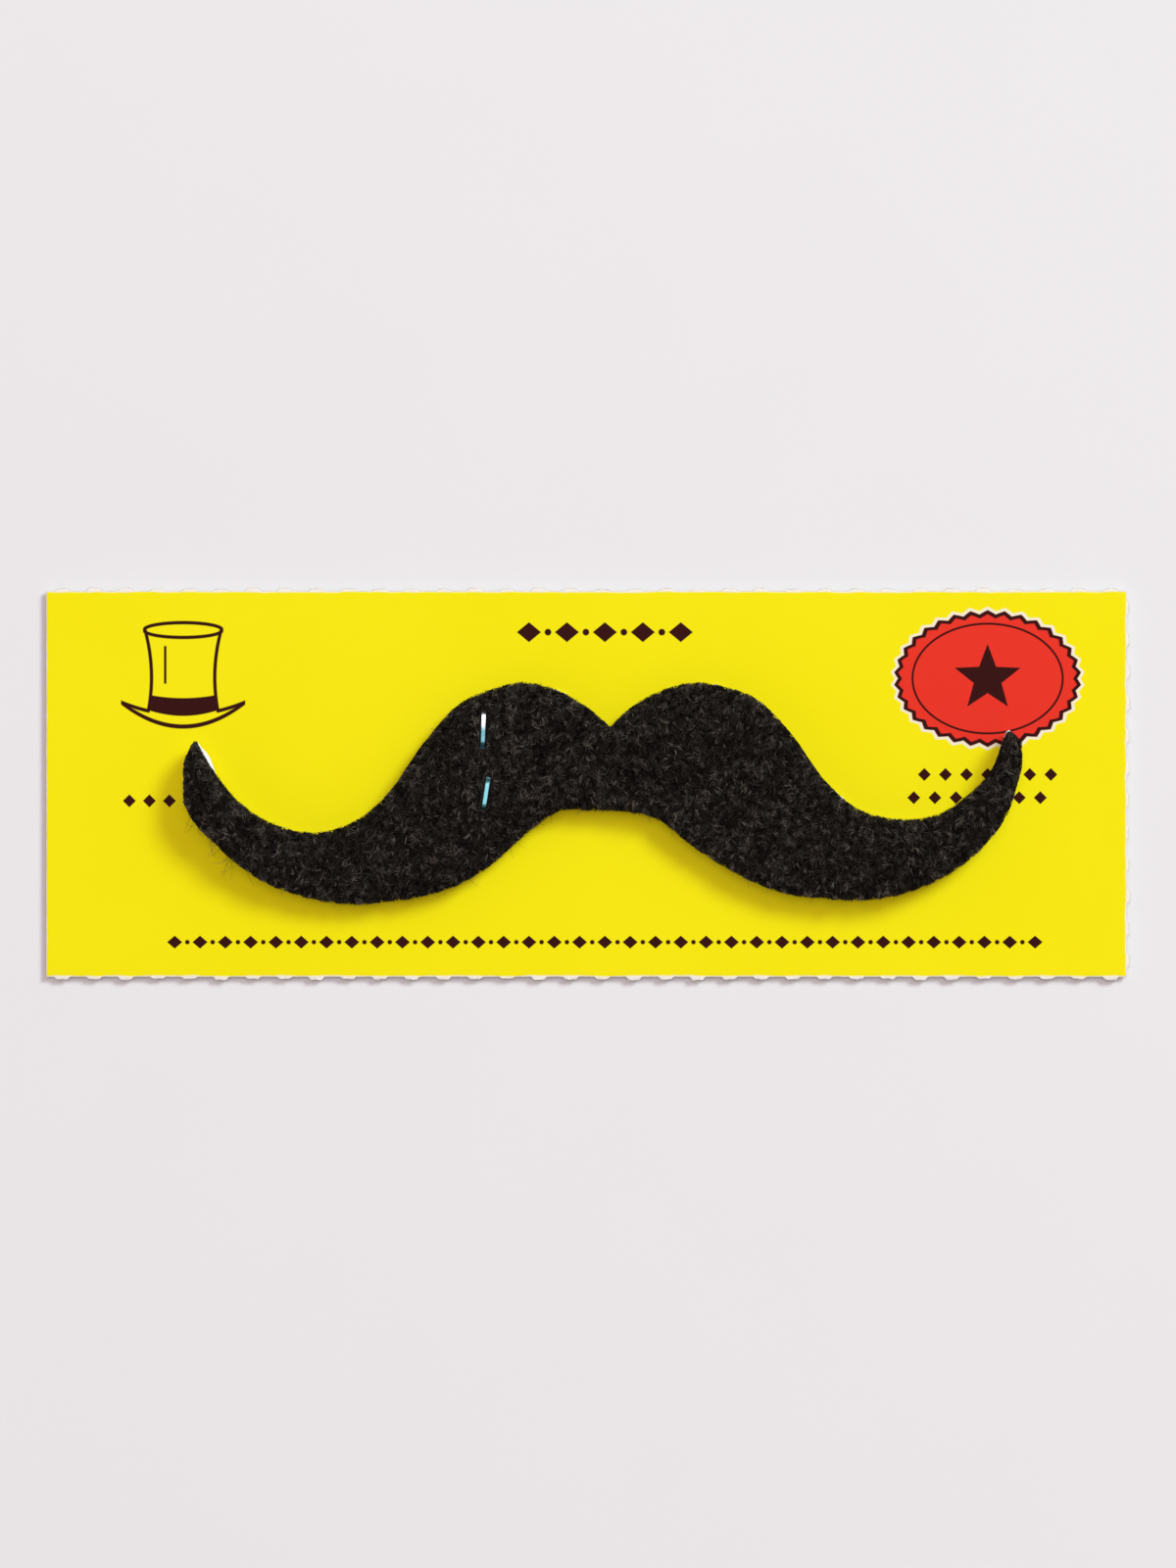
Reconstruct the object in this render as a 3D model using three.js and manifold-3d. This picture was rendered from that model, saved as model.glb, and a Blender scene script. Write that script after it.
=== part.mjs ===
// A fake moustache of black knitted pile cloth, stapled to the tear-off ticket of yellow card
// that it is sold on.
// Millimetres, +Z up, +Y towards the ticket's top edge. The ticket lies on its back, its printed side up.
// The origin is under the ticket's centre, on the surface that the ticket lies on.
import * as THREE from "three";
import { mergeVertices } from "three/addons/utils/BufferGeometryUtils.js";
import Module from "manifold-3d";

const wasm = await Module();
wasm.setup();

// The ticket: its left edge is guillotined, the other three are torn along perforations.
const ticketWidth = 102.8;
const ticketHeight = 37.2;
const cardThickness = 0.5;
const perforationPitch = 3.0;
const tieLength = 1.5; // the uncut bridge between two slits, which tears
const nibHeight = 0.3; // how far a torn bridge stands out of the slits' line
const nibTaper = 0.25; // how much narrower a nib is at each side of its tip

// The moustache's die-cut outline
const leftWing = 40.2; // from the notch under the nose to the left tip
const rightWing = 38.8;
const moustacheHeight = 20.9; // from the lowest edge of the wings to the top of the lobes
const notchAcross = 2.1; // the notch lies right of the ticket's middle
const moustacheDrop = 0.9; // the moustache's mid height lies below the ticket's middle

// The layers of the moustache
const paperThickness = 0.15;
const filmThickness = 0.2;
const filmInset = 0.6;
const groundThickness = 0.8; // the knitted ground that holds the hair
const hairDepth = 2.1; // the hair above the ground
const edgeHair = 0.45; // the hair's depth at the cut edge
const lowShoulder = 1.1; // width over which the hair rises from the lower edge
const highShoulder = 2.2; // and from the upper edge, where its roots show
const tipTaper = 4.5; // the hair thins over this length towards each tip
const tipHair = 0.55; // share of the hair's depth left at the very tip

// The staple holds the moustache down, and its wings have sprung off the card.
const heldFlat = 9.0; // to each side of the staple
const leftLift = 1.8; // at the wing's end
const rightLift = 1.0;

// The cloth's ribs run up and down
const ribPitch = 1.56;
const ribDip = 0.3; // the groove between two ribs
const scallopDepth = 0.2; // the notch that a groove leaves in the cut edge

// The staple: crown behind the card, both legs folded over the hair in front
const wireDiameter = 0.5;
const wireSides = 8;
const wireStep = 0.27; // between two sections of the wire
const crownLength = 9.0; // between the centres of the legs
const stapleAcross = 11.95; // left of the notch
const stapleUp = 0.618; // its middle, as a share of the cloth's width there, from the lower edge
const upperFold = { length: 3.4, aside: -0.1 };
const lowerFold = { length: 2.9, aside: 0.45 };
const bendRadius = 0.45;
const pinchedCloth = 1.5; // the cloth's thickness under the folded legs
const foldDip = 0.15; // the folded ends point down into the hair by this much
const crownDent = 0.15; // the crown is pressed this deep into the card's back
const dentMargin = 0.15; // the dent is wider than the wire by this at each side
const holeClearance = 0.1;
const troughSide = 0.3; // hair pressed aside by the folded wire, on each side
const troughEnd = 0.35;

const seat = 0.03; // air between pieces that lie on each other
const cutterReach = 1.0; // the bodies that cut holes and troughs stand this far above the hair
const mostNotch = 0.2; // a scallop takes no more than this share of the cloth's width
const mostInset = 0.33; // nor the film's inset more than this

// The levels of the stack, from the surface up
const cardBack = wireDiameter + seat - crownDent;
const cardFront = cardBack + cardThickness;
const paperBottom = cardFront + seat;
const filmBottom = paperBottom + paperThickness + seat;
const clothBottom = filmBottom + filmThickness + seat;
const foldLevel = clothBottom + pinchedCloth + wireDiameter / 2;

const wireRadius = wireDiameter / 2;
const holeRadius = wireRadius + holeClearance;
const baseY = -moustacheHeight / 2 - moustacheDrop;
const leftTipX = notchAcross - leftWing;
const rightTipX = notchAcross + rightWing;
const stapleX = notchAcross - stapleAcross;

// The outline, as shares: at counts from the notch (0) to a wing's tip (1),
// and the edges from the lowest point of the wings (0) to the top of the lobes (1).
const outline = [
  { at: 0.0, leftTop: 0.798, leftLow: 0.425, rightTop: 0.798, rightLow: 0.425 },
  { at: 0.05, leftTop: 0.881, leftLow: 0.426, rightTop: 0.885, rightLow: 0.417 },
  { at: 0.12, leftTop: 0.96, leftLow: 0.423, rightTop: 0.958, rightLow: 0.381 },
  { at: 0.2, leftTop: 1.0, leftLow: 0.318, rightTop: 0.998, rightLow: 0.265 },
  { at: 0.28, leftTop: 0.968, leftLow: 0.179, rightTop: 0.979, rightLow: 0.17 },
  { at: 0.36, leftTop: 0.893, leftLow: 0.088, rightTop: 0.92, rightLow: 0.092 },
  { at: 0.44, leftTop: 0.722, leftLow: 0.037, rightTop: 0.769, rightLow: 0.043 },
  { at: 0.52, leftTop: 0.502, leftLow: 0.014, rightTop: 0.562, rightLow: 0.028 },
  { at: 0.6, leftTop: 0.372, leftLow: 0.0, rightTop: 0.43, rightLow: 0.018 },
  { at: 0.7, leftTop: 0.32, leftLow: 0.025, rightTop: 0.382, rightLow: 0.042 },
  { at: 0.8, leftTop: 0.366, leftLow: 0.09, rightTop: 0.403, rightLow: 0.113 },
  { at: 0.88, leftTop: 0.471, leftLow: 0.188, rightTop: 0.502, rightLow: 0.212 },
  { at: 0.94, leftTop: 0.618, leftLow: 0.298, rightTop: 0.629, rightLow: 0.332 },
  { at: 0.957, leftTop: 0.675, leftLow: 0.327, rightTop: 0.726, rightLow: 0.382 },
  { at: 0.975, leftTop: 0.734, leftLow: 0.369, rightTop: 0.775, rightLow: 0.451 },
  { at: 1.0, leftTop: 0.64, leftLow: 0.448, rightTop: 0.734, rightLow: 0.611 },
];

// The paper was cut with the cloth. It shows where the cloth has crept off it: over a length whose
// middle lies this far to the right of a wing's end, by this much past the cloth's upper edge.
const peeks = [
  { tipX: leftTipX, aside: 2.4, length: 2.6, by: 0.8 },
  { tipX: rightTipX, aside: -1.3, length: 1.2, by: 0.2 },
];

// A smooth value between the table's rows: a cubic whose slope at a row is that of the line
// between the rows on both sides of it.
function alongOutline(column, at) {
  const last = outline.length - 1;
  const share = Math.min(Math.max(at, 0), 1);
  let i = 0;
  while (i < last - 1 && share > outline[i + 1].at) i += 1;
  const slope = (k) => {
    const a = outline[Math.max(k - 1, 0)];
    const b = outline[Math.min(k + 1, last)];
    return (b[column] - a[column]) / (b.at - a.at);
  };
  const step = outline[i + 1].at - outline[i].at;
  const t = (share - outline[i].at) / step;
  const rest = 1 - t;
  return (
    outline[i][column] * rest * rest * (1 + 2 * t) +
    outline[i + 1][column] * t * t * (1 + 2 * rest) +
    slope(i) * step * t * rest * rest -
    slope(i + 1) * step * t * t * rest
  );
}

// The die-cut edges at x: { low, high } in Y.
function edgesAt(x) {
  const left = x < notchAcross;
  const at = Math.abs(x - notchAcross) / (left ? leftWing : rightWing);
  const [low, high] = left ? ["leftLow", "leftTop"] : ["rightLow", "rightTop"];
  return {
    low: baseY + alongOutline(low, at) * moustacheHeight,
    high: baseY + alongOutline(high, at) * moustacheHeight,
  };
}

// How far the moustache stands off the card at x.
function liftAt(x) {
  const [tipX, lift] = x < stapleX ? [leftTipX, leftLift] : [rightTipX, rightLift];
  const bent = Math.abs(x - stapleX) - heldFlat;
  const span = Math.abs(tipX - stapleX) - heldFlat;
  return bent > 0 ? lift * (bent / span) ** 2 : 0;
}

const atStaple = edgesAt(stapleX);
const stapleY = atStaple.low + (atStaple.high - atStaple.low) * stapleUp;
const upperLegY = stapleY + crownLength / 2;
const lowerLegY = stapleY - crownLength / 2;

// The columns that the outline is drawn through, from the left tip to the right one, each { x, groove }:
// a rib has a groove at each side and two columns on its back.
function ribColumns() {
  const ribBack = [0.3, 0.7];
  const columns = [];
  const wing = (from, length) => {
    const ribs = Math.max(1, Math.round(length / ribPitch));
    const pitch = length / ribs;
    for (let i = 0; i < ribs; i += 1) {
      columns.push({ x: from + i * pitch, groove: true });
      for (const share of ribBack) columns.push({ x: from + (i + share) * pitch, groove: false });
    }
  };
  wing(leftTipX, leftWing);
  wing(notchAcross, rightWing);
  columns.push({ x: rightTipX, groove: true });
  return columns;
}

function solidFrom(geometry) {
  const bare = geometry.index ? geometry.toNonIndexed() : geometry.clone();
  bare.deleteAttribute("normal");
  bare.deleteAttribute("uv");
  const merged = mergeVertices(bare, 1e-5);
  return new wasm.Manifold(
    new wasm.Mesh({
      numProp: 3,
      vertProperties: merged.attributes.position.array,
      triVerts: new Uint32Array(merged.index.array),
    }),
  );
}

function geometryFrom(solid) {
  const mesh = solid.getMesh();
  const geometry = new THREE.BufferGeometry();
  geometry.setAttribute("position", new THREE.BufferAttribute(mesh.vertProperties, mesh.numProp));
  geometry.setIndex(new THREE.BufferAttribute(mesh.triVerts, 1));
  geometry.computeVertexNormals();
  return geometry;
}

// The solid with the holes of the staple's two legs right through it.
function withLegHoles(solid) {
  const tall = clothBottom + groundThickness + hairDepth + cutterReach;
  const pierced = [upperLegY, lowerLegY].map((y) => {
    const post = new THREE.CylinderGeometry(holeRadius, holeRadius, tall, wireSides);
    post.rotateX(Math.PI / 2);
    return solidFrom(post.translate(stapleX, y, tall / 2 - seat));
  });
  return pierced.reduce((left, post) => left.subtract(post), solid);
}

// One torn edge from corner a to corner b: half a slit, a nib, half a slit, and so on.
// The nibs stand out to the right of the way from a to b.
function perforatedEdge(a, b) {
  const along = new THREE.Vector2().subVectors(b, a);
  const ties = Math.max(1, Math.round(along.length() / perforationPitch));
  const pitch = along.length() / ties;
  along.normalize();
  const out = new THREE.Vector2(along.y, -along.x);
  const nib = Math.min(tieLength, pitch) / 2;
  const profile = [
    [-nib, 0],
    [nibTaper - nib, nibHeight],
    [nib - nibTaper, nibHeight],
    [nib, 0],
  ];
  const points = [a];
  for (let i = 0; i < ties; i += 1) {
    for (const [s, height] of profile) {
      const centre = (i + 0.5) * pitch;
      points.push(a.clone().addScaledVector(along, centre + s).addScaledVector(out, height));
    }
  }
  return points;
}

function makeCardTicket() {
  const left = -ticketWidth / 2;
  const right = ticketWidth / 2 - nibHeight;
  const low = -ticketHeight / 2 + nibHeight;
  const high = ticketHeight / 2 - nibHeight;
  const corners = [
    [left, low],
    [right, low],
    [right, high],
    [left, high],
  ].map(([x, y]) => new THREE.Vector2(x, y));
  const points = [
    ...perforatedEdge(corners[0], corners[1]),
    ...perforatedEdge(corners[1], corners[2]),
    ...perforatedEdge(corners[2], corners[3]),
    corners[3],
  ];
  const options = { depth: cardThickness, bevelEnabled: false };
  const board = new THREE.ExtrudeGeometry(new THREE.Shape(points), options);
  board.translate(0, 0, cardBack);
  const acrossDent = wireDiameter + 2 * dentMargin;
  const dent = new THREE.BoxGeometry(acrossDent, crownLength + acrossDent, 2 * crownDent);
  dent.translate(stapleX, stapleY, cardBack);
  return geometryFrom(withLegHoles(solidFrom(board)).subtract(solidFrom(dent)));
}

// A layer of even thickness under the cloth. grow(x, width) says how far its lower and upper
// edges lie outside the cloth's.
function underLayer(bottom, thickness, grow) {
  const rings = ribColumns().map(({ x }) => {
    const { low, high } = edgesAt(x);
    const more = grow(x, high - low);
    const floorZ = bottom + liftAt(x);
    return [
      new THREE.Vector3(x, low - more.low, floorZ),
      new THREE.Vector3(x, high + more.high, floorZ),
      new THREE.Vector3(x, high + more.high, floorZ + thickness),
      new THREE.Vector3(x, low - more.low, floorZ + thickness),
    ];
  });
  return geometryFrom(withLegHoles(solidFrom(loft(rings))));
}

function makeBackingPaper() {
  return underLayer(paperBottom, paperThickness, (x) => {
    const shown = peeks.map(({ tipX, aside, length, by }) => {
      const away = (x - tipX - aside) / (length / 2);
      return by * Math.max(0, 1 - away * away);
    });
    return { low: 0, high: Math.max(...shown) };
  });
}

// The glue stops short of the edge, and at the tips by a share of their width.
function makeAdhesiveFilm() {
  return underLayer(filmBottom, filmThickness, (x, width) => {
    const inset = Math.min(filmInset, width * mostInset);
    return { low: -inset, high: -inset };
  });
}

// A quarter circle's rise, from 0 at the edge to 1 where the shoulder ends.
function shoulder(distance, width) {
  const share = Math.min(Math.max(distance / width, 0), 1);
  return Math.sqrt(1 - (1 - share) ** 2);
}

// The depth of hair above the knitted ground at (x, y).
function hairAt(x, y, edges) {
  const half = (edges.high - edges.low) / 2;
  const fromLow = shoulder(y - edges.low, Math.min(lowShoulder, half));
  const fromHigh = shoulder(edges.high - y, Math.min(highShoulder, half));
  const tip = Math.min(x - leftTipX, rightTipX - x);
  const depth = hairDepth * (tipHair + (1 - tipHair) * shoulder(tip, tipTaper));
  const edge = Math.min(edgeHair, depth);
  return edge + (depth - edge) * Math.min(fromLow, fromHigh);
}

// A closed solid through rings of as many points each, with a flat cap on the first and the last.
function loft(rings) {
  const size = rings[0].length;
  const positions = rings.flat().flatMap((p) => [p.x, p.y, p.z]);
  const index = [];
  for (let r = 0; r + 1 < rings.length; r += 1) {
    for (let k = 0; k < size; k += 1) {
      const next = (k + 1) % size;
      const [a, b] = [r * size + k, r * size + next];
      const [c, d] = [a + size, b + size];
      index.push(a, b, c, b, d, c);
    }
  }
  const cap = (r, flip) => {
    const flat = rings[r].map((p) => new THREE.Vector2(p.y, p.z));
    for (const [a, b, c] of THREE.ShapeUtils.triangulateShape(flat, [])) {
      const [i, j, k] = [a + r * size, b + r * size, c + r * size];
      index.push(...(flip ? [i, k, j] : [i, j, k]));
    }
  };
  cap(0, true);
  cap(rings.length - 1, false);
  const geometry = new THREE.BufferGeometry();
  geometry.setAttribute("position", new THREE.Float32BufferAttribute(positions, 3));
  geometry.setIndex(index);
  return geometry;
}

// The ribbed strips of hair on their ground, as one lofted body.
function ribbedCloth() {
  const across = [1, 0.93, 0.82, 0.66, 0.45, 0.25, 0.1, 0]; // shares of the width, from the upper edge down
  const rings = ribColumns().map(({ x, groove }) => {
    const cut = edgesAt(x);
    const notch = groove ? Math.min(scallopDepth, (cut.high - cut.low) * mostNotch) : 0;
    const edges = { low: cut.low + notch, high: cut.high - notch };
    const dip = groove ? ribDip : 0;
    const floorZ = clothBottom + liftAt(x);
    const back = across.map((share) => {
      const y = edges.low + (edges.high - edges.low) * share;
      return new THREE.Vector3(x, y, floorZ + groundThickness + hairAt(x, y, edges) - dip);
    });
    return [
      new THREE.Vector3(x, edges.low, floorZ),
      new THREE.Vector3(x, edges.high, floorZ),
      ...back,
    ];
  });
  return loft(rings);
}

// The trough that a folded leg presses into the hair: a flat-bottomed stadium, open above.
function foldTrough(legY, fold, inward) {
  const half = wireRadius + troughSide;
  const reach = fold.length + troughEnd;
  const stadium = new THREE.Shape();
  stadium.moveTo(half, 0);
  stadium.lineTo(half, reach);
  stadium.lineTo(-half, reach);
  stadium.lineTo(-half, 0);
  stadium.absarc(0, 0, half, Math.PI, 2 * Math.PI, false);
  const floorLevel = foldLevel - wireRadius - foldDip - seat;
  const trough = new THREE.ExtrudeGeometry(stadium, {
    depth: groundThickness + hairDepth + cutterReach,
    bevelEnabled: false,
    curveSegments: 6,
  });
  const turn = Math.atan2(inward * fold.length, fold.aside) - Math.PI / 2;
  return trough.rotateZ(turn).translate(stapleX, legY, floorLevel);
}

function makeHairCloth() {
  const upperTrough = solidFrom(foldTrough(upperLegY, upperFold, -1));
  const lowerTrough = solidFrom(foldTrough(lowerLegY, lowerFold, 1));
  const pierced = withLegHoles(solidFrom(ribbedCloth()));
  return geometryFrom(pierced.subtract(upperTrough).subtract(lowerTrough));
}

// The staple's centre line, from the tip of the upper fold round the crown to the tip of the lower fold.
function staplePath() {
  const tip = (legY, fold, inward) =>
    new THREE.Vector3(stapleX + fold.aside, legY + inward * fold.length, foldLevel - foldDip);
  const corners = [
    tip(upperLegY, upperFold, -1),
    new THREE.Vector3(stapleX, upperLegY, foldLevel),
    new THREE.Vector3(stapleX, upperLegY, wireRadius),
    new THREE.Vector3(stapleX, lowerLegY, wireRadius),
    new THREE.Vector3(stapleX, lowerLegY, foldLevel),
    tip(lowerLegY, lowerFold, 1),
  ];
  const path = new THREE.CurvePath();
  let from = corners[0];
  for (let i = 1; i + 1 < corners.length; i += 1) {
    const before = corners[i].clone().sub(corners[i - 1]).setLength(bendRadius);
    const after = corners[i + 1].clone().sub(corners[i]).setLength(bendRadius);
    const start = corners[i].clone().sub(before);
    const end = corners[i].clone().add(after);
    path.add(new THREE.LineCurve3(from, start));
    path.add(new THREE.QuadraticBezierCurve3(start, corners[i], end));
    from = end;
  }
  path.add(new THREE.LineCurve3(from, corners[corners.length - 1]));
  return path;
}

function makeStaple() {
  const section = new THREE.Shape();
  for (let i = 0; i < wireSides; i += 1) {
    const angle = (i / wireSides) * 2 * Math.PI;
    const point = [wireRadius * Math.cos(angle), wireRadius * Math.sin(angle)];
    if (i === 0) section.moveTo(...point);
    else section.lineTo(...point);
  }
  section.closePath();
  const path = staplePath();
  const steps = Math.ceil(path.getLength() / wireStep);
  return new THREE.ExtrudeGeometry(section, { steps, extrudePath: path });
}

const finishes = {
  card: { color: 0xf8e61a, roughness: 0.45, metalness: 0 },
  paper: { color: 0xf2f0ea, roughness: 0.35, metalness: 0 },
  film: { color: 0xe6dcc0, roughness: 0.6, metalness: 0 },
  hair: { color: 0x1f1813, roughness: 0.85, metalness: 0 },
  wire: { color: 0xb9d3dc, roughness: 0.3, metalness: 1 },
};

function piece(name, geometry, finish) {
  const mesh = new THREE.Mesh(geometry, new THREE.MeshStandardMaterial(finishes[finish]));
  mesh.name = name;
  return mesh;
}

const moustacheOnTicket = new THREE.Group();
moustacheOnTicket.add(
  piece("card_ticket", makeCardTicket(), "card"),
  piece("backing_paper", makeBackingPaper(), "paper"),
  piece("adhesive_film", makeAdhesiveFilm(), "film"),
  piece("hair_cloth", makeHairCloth(), "hair"),
  piece("staple", makeStaple(), "wire"),
);

export default moustacheOnTicket;
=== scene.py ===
import bpy
import numpy as np
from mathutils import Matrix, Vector
from mathutils.geometry import tessellate_polygon


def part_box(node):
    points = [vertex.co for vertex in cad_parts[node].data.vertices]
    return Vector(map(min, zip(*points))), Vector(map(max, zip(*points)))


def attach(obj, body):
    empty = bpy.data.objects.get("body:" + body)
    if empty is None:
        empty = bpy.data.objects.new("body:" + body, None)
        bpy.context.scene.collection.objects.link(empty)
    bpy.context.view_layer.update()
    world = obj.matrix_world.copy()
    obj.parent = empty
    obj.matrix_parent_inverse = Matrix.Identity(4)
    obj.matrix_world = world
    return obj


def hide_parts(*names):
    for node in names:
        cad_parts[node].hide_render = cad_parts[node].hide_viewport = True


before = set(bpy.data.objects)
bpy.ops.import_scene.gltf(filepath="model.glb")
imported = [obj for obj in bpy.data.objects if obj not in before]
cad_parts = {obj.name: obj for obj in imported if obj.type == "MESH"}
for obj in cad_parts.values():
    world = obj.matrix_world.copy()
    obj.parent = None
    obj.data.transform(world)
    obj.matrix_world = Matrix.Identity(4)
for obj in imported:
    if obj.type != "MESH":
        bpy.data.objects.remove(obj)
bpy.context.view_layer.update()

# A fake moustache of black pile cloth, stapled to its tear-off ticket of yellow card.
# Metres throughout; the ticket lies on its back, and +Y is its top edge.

mm = 0.001
cardLow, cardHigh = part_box("card_ticket")
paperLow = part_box("backing_paper")[0]
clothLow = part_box("hair_cloth")[0]
stapleLow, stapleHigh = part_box("staple")

# The view: camera, lights and surroundings

view = {
    "lens": 200.0,
    "sensor": 36.0,
    "margin": 1.085,  # width that the picture takes in, over the ticket's
    "floorSide": 12.0,
    "floorColour": (0.80, 0.82, 0.81, 1.0),
    "floorMottle": 0.985,  # its darkest places against that
    "worldColour": (1.0, 0.80, 0.84, 1.0),
    "worldStrength": 0.34,
    "keyPlace": (1.10, 1.075, 1.65),  # from the upper right, so that shadows fall down and to the left
    "keySize": 0.8,
    "keyPower": 29.4,
    "keyColour": (0.94, 1.07, 1.09),
    "overheadPlace": (0.0, 0.3, 2.25),  # seen in the staple as its bright line
    "overheadSize": 1.25,
    "overheadPower": 17.5,
    "overheadColour": (1.0, 0.84, 0.88),  # the shadows are warm
}


def aimAt(thing, target):
    thing.rotation_euler = (Vector(target) - thing.location).to_track_quat("-Z", "Y").to_euler()


def addAreaLight(name, place, size, power, colour):
    lamp = bpy.data.lights.new(name, "AREA")
    lamp.shape = "DISK"
    lamp.size = size
    lamp.energy = power
    lamp.color = colour
    thing = bpy.data.objects.new(name, lamp)
    thing.location = place
    bpy.context.scene.collection.objects.link(thing)
    aimAt(thing, (0, 0, 0))


def setUpView():
    scene = bpy.context.scene
    cameraData = bpy.data.cameras.new("photoCamera")
    cameraData.sensor_fit = "HORIZONTAL"
    cameraData.sensor_width = view["sensor"]
    cameraData.lens = view["lens"]
    camera = bpy.data.objects.new("photoCamera", cameraData)
    seenWidth = (cardHigh[0] - cardLow[0]) * view["margin"]
    camera.location = (0, 0, cardHigh[2] + seenWidth * view["lens"] / view["sensor"])
    scene.collection.objects.link(camera)
    scene.camera = camera
    world = bpy.data.worlds.new("studio")
    world.use_nodes = True
    background = world.node_tree.nodes["Background"]
    background.inputs["Color"].default_value = view["worldColour"]
    background.inputs["Strength"].default_value = view["worldStrength"]
    scene.world = world
    scene.view_settings.view_transform = "Standard"
    for name in ("key", "overhead"):
        place, size, power, colour = (view[name + key] for key in ("Place", "Size", "Power", "Colour"))
        addAreaLight(name + "Light", place, size, power, colour)


# Shader maths


class Value:  # a socket that takes part in sums
    def __init__(self, finish, socket):
        self.finish = finish
        self.socket = socket

    def maths(self, operation, other=None):
        return self.finish.maths(operation, self, other)

    def __add__(self, other):
        return self.maths("ADD", other)

    def __sub__(self, other):
        return self.maths("SUBTRACT", other)

    def __rsub__(self, other):
        return self.finish.maths("SUBTRACT", other, self)

    def __mul__(self, other):
        return self.maths("MULTIPLY", other)

    def __truediv__(self, other):
        return self.maths("DIVIDE", other)

    def __rtruediv__(self, other):
        return self.finish.maths("DIVIDE", other, self)

    def __pow__(self, other):
        return self.maths("POWER", other)

    def __abs__(self):
        return self.maths("ABSOLUTE")

    __radd__ = __add__
    __rmul__ = __mul__

    def highest(self, other):
        return self.maths("MAXIMUM", other)

    def lowest(self, other):
        return self.maths("MINIMUM", other)

    def between(self, low, high):  # 0 below low, 1 above high, smooth in between
        settings = {"interpolation_type": "SMOOTHSTEP"}
        return self.finish.node("MapRange", settings, {0: self, 1: low, 2: high})


class Finish:  # one material
    def __init__(self, name):
        self.material = bpy.data.materials.new(name)
        self.material.use_nodes = True
        self.tree = self.material.node_tree
        self.tree.nodes.clear()
        self.output = self.tree.nodes.new("ShaderNodeOutputMaterial")

    def node(self, kind, settings=None, sockets=None, output=0):
        made = self.tree.nodes.new("ShaderNode" + kind)
        for key, value in (settings or {}).items():
            setattr(made, key, value)
        for key, value in (sockets or {}).items():
            if isinstance(value, Value):
                self.tree.links.new(value.socket, made.inputs[key])
            elif value is not None:
                made.inputs[key].default_value = value
        return Value(self, made.outputs[output])

    def maths(self, operation, first, second=None):
        return self.node("Math", {"operation": operation}, {0: first, 1: second})

    def blend(self, factor, first, second):  # a colour between two
        return self.node("Mix", {"data_type": "RGBA"}, {0: factor, 6: first, 7: second}, output=2)

    def place(self):  # the point's Object coordinates, in metres
        return self.node("TexCoord", output=3)

    def parts(self, vector):
        split = self.tree.nodes.new("ShaderNodeSeparateXYZ")
        self.tree.links.new(vector.socket, split.inputs[0])
        return [Value(self, socket) for socket in split.outputs]

    def noise(self, scale, detail=3.0, roughness=0.5, stretch=None):
        vector = self.place()
        if stretch:
            vector = self.node("Mapping", None, {0: vector, 3: stretch})
        sockets = {"Vector": vector, "Scale": scale, "Detail": detail, "Roughness": roughness}
        return self.node("TexNoise", None, sockets)

    def attribute(self, name):
        return self.node("Attribute", {"attribute_name": name}, output=2)

    def bump(self, height, distance, strength=1.0):
        sockets = {"Height": height, "Distance": distance, "Strength": strength}
        return self.node("Bump", None, sockets)

    def finish(self, **sockets):
        names = {"baseColour": "Base Color", "coat": "Coat Weight", "specular": "Specular IOR Level",
                 "sheen": "Sheen Weight", "sheenRoughness": "Sheen Roughness", "sheenTint": "Sheen Tint"}
        filled = {names.get(key, key.capitalize()): value for key, value in sockets.items()}
        shader = self.node("BsdfPrincipled", None, filled)
        self.tree.links.new(shader.socket, self.output.inputs[0])
        return self.material


# Mesh making


def unit(vectors):
    return vectors / np.linalg.norm(vectors, axis=-1, keepdims=True)


def gridQuads(rows, columns, closed=False):  # quads between neighbouring points of a grid
    i = np.arange(rows - 1)[:, None]
    j = np.arange(columns if closed else columns - 1)[None, :]
    k = (j + 1) % columns
    corners = [i * columns + j, i * columns + k, (i + 1) * columns + k, (i + 1) * columns + j]
    return np.stack(np.broadcast_arrays(*corners), axis=-1).reshape(-1, 4)


def buildPiece(name, points, faces, materials, sharpAngle=None, values=None, slots=None):
    points = np.asarray(points, dtype=np.float32).reshape(-1, 3)
    loops = np.concatenate([np.asarray(face).ravel() for face in faces]).astype(np.int32)
    sizes = np.concatenate([np.full(len(face), np.shape(face)[1]) for face in faces])
    starts = np.concatenate([[0], np.cumsum(sizes)[:-1]]).astype(np.int32)
    mesh = bpy.data.meshes.new(name)
    mesh.vertices.add(len(points))
    mesh.vertices.foreach_set("co", points.ravel())
    mesh.loops.add(len(loops))
    mesh.loops.foreach_set("vertex_index", loops)
    mesh.polygons.add(len(sizes))
    mesh.polygons.foreach_set("loop_start", starts)
    mesh.polygons.foreach_set("use_smooth", np.ones(len(sizes), dtype=bool))
    for material in materials:
        mesh.materials.append(material)
    if slots is not None:
        mesh.polygons.foreach_set("material_index", np.concatenate(slots).astype(np.int32))
    mesh.update(calc_edges=True)
    for key, array in (values or {}).items():
        attribute = mesh.attributes.new(key, "FLOAT", "POINT")
        attribute.data.foreach_set("value", np.asarray(array, dtype=np.float32).ravel())
    if sharpAngle:
        mesh.set_sharp_from_angle(angle=sharpAngle)
    piece = bpy.data.objects.new(name, mesh)
    bpy.context.scene.collection.objects.link(piece)
    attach(piece, "root")
    return piece


def tubeFaces(sections, around):  # quads round a tube of rings, and a many-sided face at both ends
    last = (sections - 1) * around
    ends = [np.arange(around)[::-1][None, :], np.arange(last, last + around)[None, :]]
    return [gridQuads(sections, around, closed=True), *ends]


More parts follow.
